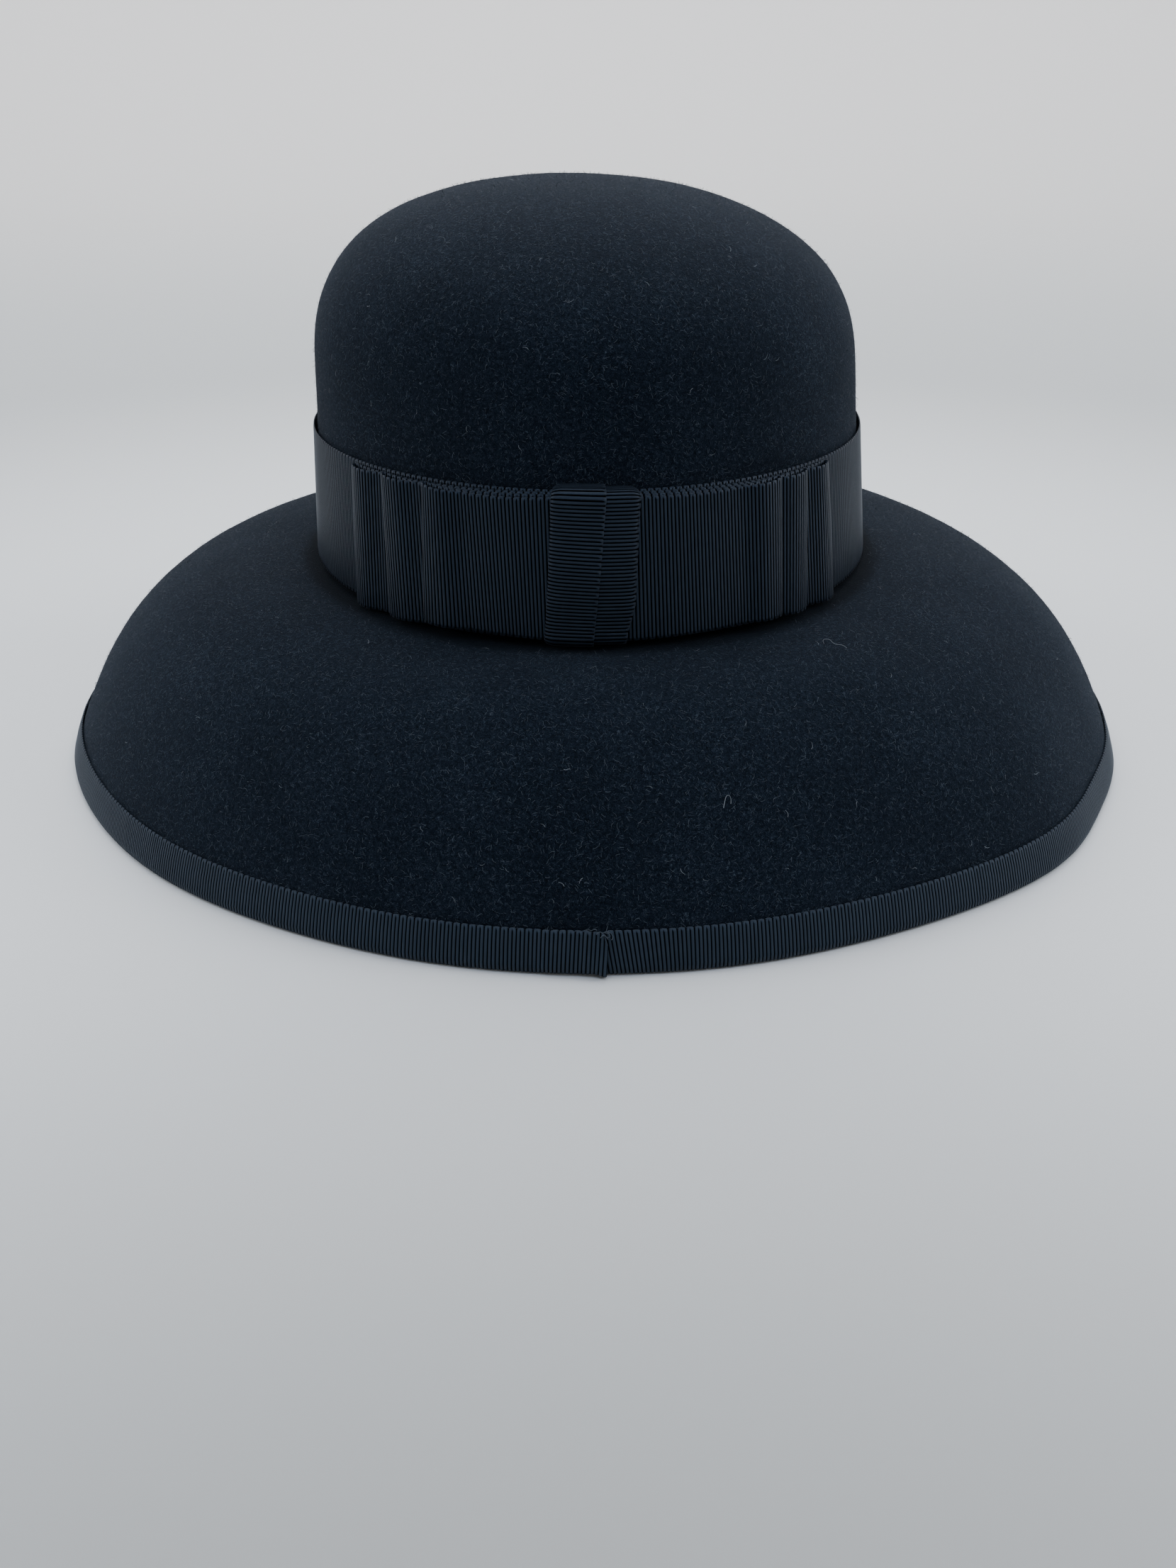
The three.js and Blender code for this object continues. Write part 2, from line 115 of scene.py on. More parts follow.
# Share squared times what is left of it peaks at 4/27, so this brings a loop's slant to its full size
SLANT_PEAK = 27 / 4
# The dent by a fold: where it lies and how far it spreads, as shares of the height and the reach, and how
# much of its depth goes towards the band
DENT_LEVEL = 0.93
DENT_TALL = 0.09
DENT_REACH = 0.975
DENT_LONG = 0.02
DENT_INWARD = 0.4
LOOPS = (
    {"name": "bow_loop_left_1", "side": -1, "layer": 2, "reach": 44.4, "lean": 0.9, "shear": -2.2,
     "middle": 0.04, "fold": 0.0, "hang": -0.03, "dent": 0.0},
    {"name": "bow_loop_left_2", "side": -1, "layer": 1, "reach": 58.9, "lean": -1.4, "shear": -0.8,
     "middle": 0.024, "fold": 0.006, "hang": 0.004, "dent": 0.0},
    {"name": "bow_loop_left_3", "side": -1, "layer": 0, "reach": 75.0, "lean": -0.4, "shear": 0.0,
     "middle": 0.012, "fold": 0.02, "hang": 0.024, "dent": 0.2},
    {"name": "bow_loop_right_1", "side": 1, "layer": 2, "reach": 53.7, "lean": -0.6, "shear": 0.9,
     "middle": 0.03, "fold": 0.0, "hang": -0.03, "dent": 0.0},
    {"name": "bow_loop_right_2", "side": 1, "layer": 1, "reach": 65.2, "lean": -1.6, "shear": 0.5,
     "middle": 0.02, "fold": 0.006, "hang": -0.008, "dent": 0.0},
    {"name": "bow_loop_right_3", "side": 1, "layer": 0, "reach": 79.6, "lean": 1.1, "shear": 0.0,
     "middle": 0.01, "fold": 0.016, "hang": 0.012, "dent": 0.6},
)

# Knot: ribbon folded once lengthwise, its flap lying over the right part
KNOT_WIDTH = 21.8 * MM
KNOT_CENTRE = 1.0 * MM
KNOT_SKEW = 2.6 * MM
KNOT_OUT = 5.3 * MM
KNOT_BACKWARD = 1.2 * MM
KNOT_ROUNDED = 3.0 * MM
KNOT_CORNER = 2.4 * MM
KNOT_BULGE = 0.9 * MM
KNOT_NIP = 2.0 * MM
KNOT_NIP_BELOW = 0.3
KNOT_REACH_UP = 0.75 * MM
KNOT_BACK_TOP = -0.85 * MM
KNOT_BACK_BOTTOM = 2.1 * MM
KNOT_WAIST = 0.35 * MM
KNOT_CORNER_STEPS = 9
KNOT_FRONT_STEPS = 15
# Its edges round off along most of a quarter circle, short of where that turns straight back
KNOT_QUARTER = 0.96
# Rows from its middle to its right and left edge and on the flap, as shares of half its width
KNOT_RIGHT_ROWS = (0.85, 0.7, 0.4, 0.0)
KNOT_LEFT_ROWS = (0.6, 0.8, 0.92)
FLAP_ROWS = (0.92, 0.8, 0.6, 0.2)
FLAP_EDGE = 1.6 * MM
FLAP_SKEW = 1.5 * MM
FLAP_LIFT = 0.6 * MM
FLAP_SAG = 1.3 * MM

# Painted shade on the felt under the bow's overhang, as shares of the band's oval, which is moved this far
# towards the bow
PAINTED_SHADE_SHIFT = 3 * MM
PAINTED_SHADE_START = 1.015
PAINTED_SHADE_END = 1.065
PAINTED_SHADE_TALL = 2 * MM

# Binding: measured up from the rim's lowest point along the brim, and out from the brim's underside
BINDING_TALL = 11.0 * MM
BINDING_ROW = 0.6
BINDING_FOLD = 2.0 * MM
BINDING_OUTER = 3.95 * MM
BINDING_INNER = 0.62 * MM
BINDING_JOIN = 2.6 * MM
BINDING_LAP = 12 * MM
BINDING_HEM = 4.5 * MM
LAP_LIFT = 0.6 * MM
LAP_RISE = 6 * MM
HEM_LIFT = 0.7 * MM
HEM_RISE = 2 * MM
# Its outer edge is sewn down, so over the last two fifths of its height it sinks towards the felt
EDGE_PRESS = 0.4 * MM
EDGE_FROM = 0.6
# By the join the ribs slant towards it, its two corners are rubbed down and the hem's foot stands out
JOIN_SLANT_RIGHT = 1.9 * MM
JOIN_SLANT_LEFT = 0.6 * MM
JOIN_SPREAD = 25 * MM
JOIN_CORNER = 2.8 * MM
HEM_CORNER_LONG = 1.6 * MM
JOIN_CORNER_START = 0.6 * MM
JOIN_CORNER_LONG = 1.8 * MM
JOIN_FOOT = 1.4 * MM
FOOT_LONG = 3.5 * MM
FOOT_TALL = 6 * MM
# Where the rim's slope is read: heights, how far from the middle the look outward starts, places round it,
# and how many of them are averaged
RIM_HEIGHTS = (2.5 * MM, 7 * MM)
RIM_LOOK_START = 100 * MM
RIM_SAMPLES = 320
RIM_SMOOTHING = 5

# Loose fibres: length, width, and each bend as (place along it, how far aside, how far off the felt) in
# shares of the length. They roll this many radians either way round their own length.
NAP_LENGTH = 1.1 * MM
NAP_WIDTH = 0.085 * MM
NAP_BENDS = ((1 / 3, 0.03, 0.03), (2 / 3, 0.13, 0.05), (1.0, 0.3, 0.04))
LINT_LENGTH = 2.2 * MM
LINT_WIDTH = 0.14 * MM
LINT_BENDS = ((1 / 3, 0.02, 0.05), (2 / 3, 0.2, 0.1), (1.0, 0.62, 0.08))
FIBRE_ROLL = 0.5
# The felt's faces that look away from this point low in the middle of the hat are its outside
INNER_POINT = (0, 0, 20 * MM)
ABOVE_HAT = 300 * MM

# Long fibres that lie on the brim, beside the bow's right side and below its middle
LONG_LINT_RADIUS = 0.07 * MM
LONG_LINT = (
    ((61.2, -107.5), (60.9, -105.6), (62.0, -104.3), (63.3, -104.6), (63.5, -106.2), (64.6, -107.3),
     (66.4, -106.8), (67.2, -108.4)),
    ((31.2, -158.9), (31.6, -157.4), (32.4, -156.7), (33.2, -157.2), (33.0, -158.0)),
)

# Frayed threads at the binding's join, as (across, up, out) millimetres from its rubbed corner
THREAD_RADIUS = 0.09 * MM
JOIN_THREADS = (
    ((-2.2, 1.6, 0.0), (-1.6, 2.8, 0.5), (-0.6, 2.2, 0.6), (0.2, 2.9, 0.5), (0.9, 2.0, 0.2)),
    ((0.4, 2.6, 0.2), (1.5, 2.2, 0.6), (1.9, 1.0, 0.5), (1.4, 0.1, 0.1)),
    ((-1.2, 0.8, 0.3), (-0.7, 2.0, 0.8), (0.2, 1.4, 0.7), (0.6, 0.4, 0.3)),
    ((-5.0, 2.6, -0.1), (-4.3, 3.4, 0.3), (-3.4, 2.7, 0.4), (-2.7, 3.4, 0.3), (-2.1, 2.7, 0.0)),
    ((0.0, 2.0, 0.2), (0.2, 3.0, 0.4), (0.5, 3.9, 0.2)),
    ((-0.4, 1.9, 0.3), (0.3, 1.1, 0.8), (1.2, 1.4, 0.8), (0.8, 2.3, 0.6), (-0.1, 2.2, 0.4)),
)

# Studio
FLOOR_RADIUS = 1.9
SWEEP_CURVE = 0.9
SWEEP_STEPS = 12
WALL_HEIGHT = 1.6
# Middle of the soft shadow painted on the floor before the hat
PAINTED_SHADOW_CENTRE = (0, -0.52, 0)
CROWN_MIDDLE = (0, 0, 0.09)
CAMERA_PLACE = (-0.0018, -0.5011, 0.2006)
CAMERA_DOWN = 24.72
CAMERA_LENS = 35.8


def select_only(obj):
    """Leaves obj alone selected and active, as a click on it does."""
    bpy.ops.object.select_all(action="DESELECT")
    obj.select_set(True)
    bpy.context.view_layer.objects.active = obj


def unit(vectors):
    """The same directions at length 1."""
    return vectors / np.maximum(np.linalg.norm(vectors, axis=-1, keepdims=True), 1e-12)


def smooth(share):
    """Eases from 0 to 1 as the share goes from 0 to 1, and stays level beyond both."""
    share = np.clip(share, 0, 1)
    return share * share * (3 - 2 * share)


# Colours


def hex_colour(code):
    """The linear colour of an sRGB hex code."""
    parts = [int(code[i:i + 2], 16) / 255 for i in (1, 3, 5)]
    return tuple(c / 12.92 if c <= 0.04045 else ((c + 0.055) / 1.055) ** 2.4 for c in parts) + (1.0,)


# Materials


def add_node(tree, kind, settings=None, links=None, stops=()):
    """Adds a node, sets its properties and sockets, and links outputs of other nodes to its sockets.

    A colour ramp also gets its stops, as (place, hex colour).
    """
    node = tree.nodes.new(kind)
    for key, value in (settings or {}).items():
        if isinstance(key, str) and hasattr(node, key):
            setattr(node, key, value)
        else:
            node.inputs[key].default_value = value
    for key, source in (links or {}).items():
        tree.links.new(source, node.inputs[key])
    for number, (place, code) in enumerate(stops):
        if number == len(node.color_ramp.elements):
            node.color_ramp.elements.new(place)
        node.color_ramp.elements[number].position = place
        node.color_ramp.elements[number].color = hex_colour(code)
    return node


def new_material(name):
    """An empty material with its output, and the tree that its nodes go in."""
    material = bpy.data.materials.new(name)
    material.use_nodes = True
    tree = material.node_tree
    tree.nodes.clear()
    return material, tree, tree.nodes.new("ShaderNodeOutputMaterial")


def felt_material():
    """Wool felt, blocked over steam: matt, a cool black, with a short nap that lies in small tufts."""
    material, tree, output = new_material("blocked wool felt")
    place = add_node(tree, "ShaderNodeTexCoord").outputs["Object"]
    # Tufts of nap about 0.9 mm across, clouds of wear about 30 mm, fibres about 0.5 mm apart
    tufts = add_node(tree, "ShaderNodeTexNoise", {
        "Scale": 1 / (0.9 * MM), "Detail": 2.0, "Roughness": 0.6, "Distortion": 0.8,
    }, {"Vector": place})
    clouds = add_node(tree, "ShaderNodeTexNoise", {"Scale": 1 / (30 * MM), "Detail": 3.0}, {"Vector": place})
    fibres = add_node(tree, "ShaderNodeTexNoise", {"Scale": 1 / (0.5 * MM), "Detail": 1.0, "Distortion": 2.0},
                      {"Vector": place})
    soft = add_node(tree, "ShaderNodeMath", {"operation": "MULTIPLY", 1: 0.1}, {0: clouds.outputs["Fac"]})
    mixed = add_node(tree, "ShaderNodeMath", {"operation": "MULTIPLY_ADD", 1: 0.55},
                     {0: fibres.outputs["Fac"], 2: soft.outputs["Value"]})
    flecks = add_node(tree, "ShaderNodeMath", {"operation": "MULTIPLY_ADD", 1: 0.35},
                      {0: tufts.outputs["Fac"], 2: mixed.outputs["Value"]})
    colour = add_node(tree, "ShaderNodeValToRGB", links={"Fac": flecks.outputs["Value"]},
                      stops=((0.33, "#04070b"), (0.48, "#0c1118"), (0.59, "#181f28"), (0.69, "#343c46")))
    # Painted shade: under the bow's overhang the felt's colour is painted near black, for the shade that
    # falls there
    shelter = add_node(tree, "ShaderNodeAttribute", {"attribute_name": "shelter"})
    with_painted_shade = add_node(tree, "ShaderNodeMix", {"data_type": "RGBA", 7: hex_colour("#010204")},
                     {0: shelter.outputs["Fac"], 6: colour.outputs["Color"]})
    nap = add_node(tree, "ShaderNodeBump", {"Strength": 0.8, "Distance": 0.4 * MM},
                   {"Height": flecks.outputs["Value"]})
    shader = add_node(tree, "ShaderNodeBsdfPrincipled", {
        "Roughness": 0.95, "IOR": 1.45, "Specular IOR Level": 0.1, "Specular Tint": hex_colour("#b4cbe8"),
        "Sheen Weight": 0.052, "Sheen Roughness": 0.4, "Sheen Tint": hex_colour("#a9bed6"),
    }, {"Base Color": with_painted_shade.outputs[2], "Normal": nap.outputs["Normal"]})
    tree.links.new(shader.outputs["BSDF"], output.inputs["Surface"])
    return material


def fibre_material(name, dark, light, sheen):
    """Loose wool, thread or lint, a shade lighter than the cloth it lies on: for wool and thread that is
    painted sheen for the light the fibres catch, for lint it is its own colour.
    """
    material, tree, output = new_material(name)
    place = add_node(tree, "ShaderNodeTexCoord").outputs["Object"]
    patches = add_node(tree, "ShaderNodeTexNoise", {"Scale": 1 / (4 * MM), "Detail": 2.0}, {"Vector": place})
    colour = add_node(tree, "ShaderNodeValToRGB", links={"Fac": patches.outputs["Fac"]},
                      stops=((0.3, dark), (0.7, light)))
    shader = add_node(tree, "ShaderNodeBsdfPrincipled", {
        "Roughness": 0.7, "Sheen Weight": sheen, "Specular IOR Level": 0.1,
    }, {"Base Color": colour.outputs["Color"]})
    tree.links.new(shader.outputs["BSDF"], output.inputs["Surface"])
    return material


def ribbon_material(name, crest, groove_shade_end, sheen, shine, roughness):
    """Viscose grosgrain: silky threads over cords, so the crests shine softly, and the grooves are painted
    black as painted shade.
    """
    material, tree, output = new_material(name)
    cloth = add_node(tree, "ShaderNodeUVMap", {"uv_map": "UVMap"}).outputs["UV"]
    place = add_node(tree, "ShaderNodeTexCoord").outputs["Object"]
    cord = add_node(tree, "ShaderNodeAttribute", {"attribute_name": "cord"})
    # Painted shade: the colour falls to black down in the grooves between the cords, and the gloss and sheen
    # fall away with it
    crests = add_node(tree, "ShaderNodeMapRange", {
        "interpolation_type": "SMOOTHSTEP", "From Min": groove_shade_end, "From Max": 1.0,
    }, {"Value": cord.outputs["Fac"]})
    # Warp threads 0.22 mm apart run along the ribbon, and years of handling leave clouds 9 mm across
    warp = add_node(tree, "ShaderNodeTexWave", {
        "wave_type": "BANDS", "bands_direction": "Y", "wave_profile": "SIN", "Scale": WAVE_PITCH / WARP_PITCH,
        "Distortion": 1.5, "Detail": 2.0, "Detail Scale": 0.8,
    }, {"Vector": cloth})
    wear = add_node(tree, "ShaderNodeTexNoise", {"Scale": 1 / (9 * MM), "Detail": 5.0, "Roughness": 0.6},
                    {"Vector": place})
    threads = add_node(tree, "ShaderNodeMath", {"operation": "MULTIPLY", 1: 0.3}, {0: warp.outputs["Fac"]})
    worn = add_node(tree, "ShaderNodeMath", {"operation": "MULTIPLY_ADD", 1: 0.7},
                    {0: wear.outputs["Fac"], 2: threads.outputs["Value"]})
    strength = add_node(tree, "ShaderNodeMapRange", {"To Min": 0.6, "To Max": 1.4},
                        {"Value": worn.outputs["Value"]})
    wear_and_groove_shade = add_node(tree, "ShaderNodeMath", {"operation": "MULTIPLY"},
                   {0: strength.outputs["Result"], 1: crests.outputs["Result"]})
    colour = add_node(tree, "ShaderNodeVectorMath", {"operation": "SCALE", 0: hex_colour(crest)[:3]},
                      {"Scale": wear_and_groove_shade.outputs["Value"]})
    gloss = add_node(tree, "ShaderNodeMath", {"operation": "MULTIPLY", 1: shine},
                     {0: crests.outputs["Result"]})
    fuzz = add_node(tree, "ShaderNodeMath", {"operation": "MULTIPLY", 1: sheen},
                    {0: crests.outputs["Result"]})
    weave = add_node(tree, "ShaderNodeBump", {"Strength": 0.3, "Distance": 0.05 * MM},
                     {"Height": threads.outputs["Value"]})
    shader = add_node(tree, "ShaderNodeBsdfPrincipled", {
        "Roughness": roughness, "IOR": 1.5, "Specular Tint": hex_colour("#b4cbe8"),
        "Sheen Roughness": 0.3, "Sheen Tint": hex_colour("#b4c4d4"),
    }, {"Base Color": colour.outputs["Vector"], "Specular IOR Level": gloss.outputs["Value"],
        "Sheen Weight": fuzz.outputs["Value"], "Normal": weave.outputs["Normal"]})
    tree.links.new(shader.outputs["BSDF"], output.inputs["Surface"])
    return material


def paper_material(name, floor, painted_dim, painted_wall_light, painted_shadow):
    """Matt paper of a studio sweep, with light and shade painted on: painted dimmer away from the hat,
    painted lighter up the wall, and a painted soft shadow before the hat.
    """
    material, tree, output = new_material(name)
    place = add_node(tree, "ShaderNodeTexCoord").outputs["Object"]
    # Each painted tone of light or shade sets in between two distances from a place, over the tones before it
    tones = {}
    for centre, begin, end, code in (
        ((0, 0, 0), 0.2, 0.7, painted_dim), ((0, 0, 0), 0.8, 3.0, painted_wall_light), (PAINTED_SHADOW_CENTRE, 0.46, 0.08, painted_shadow),
    ):
        reach = add_node(tree, "ShaderNodeVectorMath", {"operation": "DISTANCE", 1: centre}, {0: place})
        share = add_node(tree, "ShaderNodeMapRange", {
            "interpolation_type": "SMOOTHSTEP", "From Min": begin, "From Max": end,
        }, {"Value": reach.outputs["Value"]})
        mix = add_node(tree, "ShaderNodeMix", {
            "data_type": "RGBA", 6: hex_colour(floor), 7: hex_colour(code),
        }, {0: share.outputs["Result"], **tones})
        tones = {6: mix.outputs[2]}
    shader = add_node(tree, "ShaderNodeBsdfPrincipled", {"Roughness": 0.95, "Specular IOR Level": 0.1},
                      {"Base Color": mix.outputs[2]})
    tree.links.new(shader.outputs["BSDF"], output.inputs["Surface"])
    return material


# Ribbons


def ribbon_faces(stations, across_mm, closed):
    """The faces of a two-faced ribbon's points, all of its front first, and each face's places on its map.

    The map is in millimetres, along the ribbon and across it.
    """
    rows = len(across_mm)
    count = stations * rows
    step = RIB_PITCH / len(RIB_SHAPE) / MM
    faces, maps = [], []
    for station in range(stations if closed else stations - 1):
        here = station * rows
        ahead = ((station + 1) % stations) * rows
        begin, finish = station * step, (station + 1) * step
        for row in range(rows - 1):
            faces.append((here + row, ahead + row, ahead + row + 1, here + row + 1))
            back, back_ahead = count + here + row, count + ahead + row
            faces.append((back, back + 1, back_ahead + 1, back_ahead))
            low, high = across_mm[row], across_mm[row + 1]
            maps.append(((begin, low), (finish, low), (finish, high), (begin, high)))
            maps.append(((begin, low), (begin, high), (finish, high), (finish, low)))
        for row, turned in ((0, False), (rows - 1, True)):
            edge = (here + row, count + here + row, count + ahead + row, ahead + row)
            level = across_mm[row]
            cloth = ((begin, level), (begin, level), (finish, level), (finish, level))
            faces.append(edge[::-1] if turned else edge)
            maps.append(cloth[::-1] if turned else cloth)
    if not closed:
        for station, turned in ((0, False), (stations - 1, True)):
            here = station * rows
            for row in range(rows - 1):
                end = (here + row, here + row + 1, count + here + row + 1, count + here + row)
                cloth = tuple((station * step, across_mm[k]) for k in (row, row + 1, row + 1, row))
                faces.append(end[::-1] if turned else end)
                maps.append(cloth[::-1] if turned else cloth)
    return faces, maps


def grosgrain(name, grid, closed, material):
    """Ribbed ribbon, two faces and its edges, round a grid of points of its middle.

    The grid goes station by station along the ribbon, four to a rib, and edge to edge across it.
    """
    stations, rows = grid.shape[:2]
    if closed:
        along = np.roll(grid, -1, axis=0) - np.roll(grid, 1, axis=0)
    else:
        along = np.gradient(grid, axis=0)
    across = np.gradient(grid, axis=1)
    normal = unit(np.cross(along, across))
    crest = np.repeat(np.array(RIB_SHAPE)[np.arange(stations) % len(RIB_SHAPE)][:, None], rows, axis=1)
    arch = np.array(ARCH_SHAPE)[np.arange(stations) % len(ARCH_SHAPE)]
    middle = grid.copy()
    for edge, inner in ((0, 1), (rows - 1, rows - 2)):
        outward = unit(grid[:, edge] - grid[:, inner])
        middle[:, edge] += outward * (PICOT * (arch - 0.5))[:, None]
        crest[:, edge] = arch
    halves = GROOVE_HALF + RIB_HEIGHT * crest
    halves[:, 0] *= SELVEDGE_THICKNESS
    halves[:, -1] *= SELVEDGE_THICKNESS
    front = middle + normal * halves[..., None]
    back = middle - normal * halves[..., None]
    points = np.concatenate([front.reshape(-1, 3), back.reshape(-1, 3)])
    across_mm = np.concatenate([[0], np.cumsum(np.linalg.norm(np.diff(grid[0], axis=0), axis=1))]) / MM
    faces, maps = ribbon_faces(stations, across_mm, closed)
    mesh = bpy.data.meshes.new(name)
    mesh.from_pydata(points.tolist(), [], faces)
    layer = mesh.uv_layers.new(name="UVMap")
    layer.data.foreach_set("uv", np.array(maps, np.float32).reshape(-1))
    cord = mesh.attributes.new("cord", "FLOAT", "POINT")
    cord.data.foreach_set("value", np.tile(crest.reshape(-1), 2).astype(np.float32))
    mesh.materials.append(material)
    ribbon = bpy.data.objects.new(name, mesh)
    bpy.context.scene.collection.objects.link(ribbon)
    select_only(ribbon)
    bpy.ops.object.mode_set(mode="EDIT")
    bpy.ops.mesh.select_all(action="SELECT")
    bpy.ops.mesh.normals_make_consistent(inside=False)
    bpy.ops.object.mode_set(mode="OBJECT")
    bpy.ops.object.shade_smooth()
    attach(ribbon, "root")
    return ribbon


def stations_along(path, closed):
    """Points a quarter of a rib apart along a path of any number of columns, for an even count of ribs."""
    steps = np.linalg.norm(np.diff(path[:, :2], axis=0), axis=1)
    distance = np.concatenate([[0], np.cumsum(steps)])
    ribs = 2 * round(distance[-1] / RIB_PITCH / 2)
    count = ribs * len(RIB_SHAPE)
    wanted = np.linspace(0, distance[-1], count + 1)
    wanted = wanted[:-1] if closed else wanted
    return np.stack([np.interp(wanted, distance, column) for column in path.T], axis=1)


# The foot of the crown is the oval that distances along the band are measured on
foot_angles = np.linspace(-math.pi / 2, 3 * math.pi / 2, OVAL_STEPS + 1)
foot_oval = np.stack([
    (BAND_HALF.x - BAND_OFF_FELT) * np.cos(foot_angles),
    (BAND_HALF.y - BAND_OFF_FELT) * np.sin(foot_angles),
], axis=1)
foot_lengths = np.concatenate([[0], np.cumsum(np.linalg.norm(np.diff(foot_oval, axis=0), axis=1))])
BAND_GIRTH = foot_lengths[-1]


def band_point(arc, height, out):
    """Places on the band: how far along it from the middle of the back, how high, how far off its face."""
    angle = np.interp(np.mod(arc, BAND_GIRTH), foot_lengths, foot_angles)
    share = np.maximum((height - BAND_BOTTOM) / BAND_HEIGHT, 0)
    reach = out - BAND_LEAN_IN * share
    x = BAND_CENTRE.x + (BAND_HALF.x + reach) * np.cos(angle) - BAND_LEAN_LEFT * share
    y = BAND_CENTRE.y + (BAND_HALF.y + reach) * np.sin(angle)
    return np.stack([x, y, height + 0 * x], axis=-1)


def levels_across(middles):
    """Rows across a ribbon as shares of its width, close together at both selvedges."""
    edge = SELVEDGE / BAND_HEIGHT
    return np.concatenate([[0, edge], np.linspace(0, 1, middles + 2)[1:-1], [1 - edge, 1]])


def hat_band():
    """The ribbon stretched round the foot of the crown."""
    levels = levels_across(2)
    path = stations_along(np.stack([foot_lengths, 0 * foot_lengths], axis=1), closed=True)
    arc = path[:, 0][:, None]
    height = BAND_BOTTOM + BAND_HEIGHT * levels[None, :]
    grid = band_point(arc, height + 0 * arc, -CORD_HALF)
    band = grosgrain("grosgrain_band", grid, True, band_ribbon)
    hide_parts("hat_band")


def loop_path(layer, reach):
    """A loop from above: along the band to the fold, round it and back, as (along, out) in metres."""
    near_out = LOOP_GAP + layer * LOOP_PITCH + CORD_HALF
    pressed = near_out + 2 * CORD_HALF
    tip_out = near_out + FOLD_UNDER
    crown_at = reach - FOLD_LENGTH
    along = np.linspace(LOOP_START, reach - FOLD_UNDER, LOOP_STEPS)
    near = np.stack([along, np.full_like(along, near_out)], axis=1)
    under = np.linspace(-math.pi / 2, 0, UNDER_STEPS)[1:]
    turn_along = reach - FOLD_UNDER + FOLD_UNDER * np.cos(under)
    turn = np.stack([turn_along, tip_out + FOLD_UNDER * np.sin(under)], axis=1)
    over = np.linspace(0, math.pi / 2, HUMP_STEPS)[1:]
    hump = np.stack([crown_at + FOLD_LENGTH * np.cos(over), tip_out + FOLD_RISE * np.sin(over)], axis=1)
    back = np.linspace(crown_at, LOOP_START, LOOP_STEPS)[1:]
    sunk = smooth((crown_at - back) / FOLD_SINK)
    far = np.stack([back, tip_out + FOLD_RISE + (pressed - tip_out - FOLD_RISE) * sunk], axis=1)
    return np.concatenate([near, turn, hump, far])


def bow_loop(row):
    """One folded loop of the bow, from its row in the table."""
    reach = row["reach"] * MM
    path = stations_along(loop_path(row["layer"], reach), closed=False)
    along, out = path[:, 0][:, None], path[:, 1][:, None]
    share = along / reach
    dip = row["middle"] * 4 * share * (1 - share) + row["fold"] * share
    top = BAND_TOP - BAND_HEIGHT * dip
    bottom = BAND_BOTTOM - BAND_HEIGHT * row["hang"] * smooth(share)
    levels = levels_across(4)[None, :]
    height = bottom + (top - bottom) * levels
    slant = row["lean"] * share + row["shear"] * SLANT_PEAK * share * share * (1 - share)
    lean = slant * MM * (0.5 - levels)
    beside = ((levels - DENT_LEVEL) / DENT_TALL) ** 2 + ((share - DENT_REACH) / DENT_LONG) ** 2
    dent = row["dent"] * MM * np.exp(-beside)
    grid = band_point(row["side"] * (along + lean - dent), height, out - DENT_INWARD * dent)
    loop = grosgrain("ribbon_" + row["name"], grid, False, band_ribbon)
    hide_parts(row["name"])


def knot_path():
    """The knot from the side: over the bow, down its swelling front and under it, as (height, out)."""
    top = BAND_TOP + LOOP_GAP + KNOT_REACH_UP - CORD_HALF
    bottom = BAND_BOTTOM - LOOP_GAP - KNOT_REACH_UP + CORD_HALF
    corner_out = KNOT_OUT - KNOT_CORNER
    over = [(top, KNOT_BACK_TOP)]
    for angle in np.linspace(math.pi / 2, 0, KNOT_CORNER_STEPS):
        height = top - KNOT_CORNER * (1 - math.sin(angle))
        over.append((height, corner_out + KNOT_CORNER * math.cos(angle)))
    for share in np.linspace(0, 1, KNOT_FRONT_STEPS)[1:-1]:
        height = top - KNOT_CORNER + (bottom - top + 2 * KNOT_CORNER) * share
        over.append((height, KNOT_OUT + KNOT_BULGE * math.sin(math.pi * share) ** 2))
    for angle in np.linspace(0, -math.pi / 2, KNOT_CORNER_STEPS):
        height = bottom + KNOT_CORNER * (1 + math.sin(angle))
        over.append((height, corner_out + KNOT_CORNER * math.cos(angle)))
    over.append((bottom, KNOT_BACK_BOTTOM))
    return np.array(over)


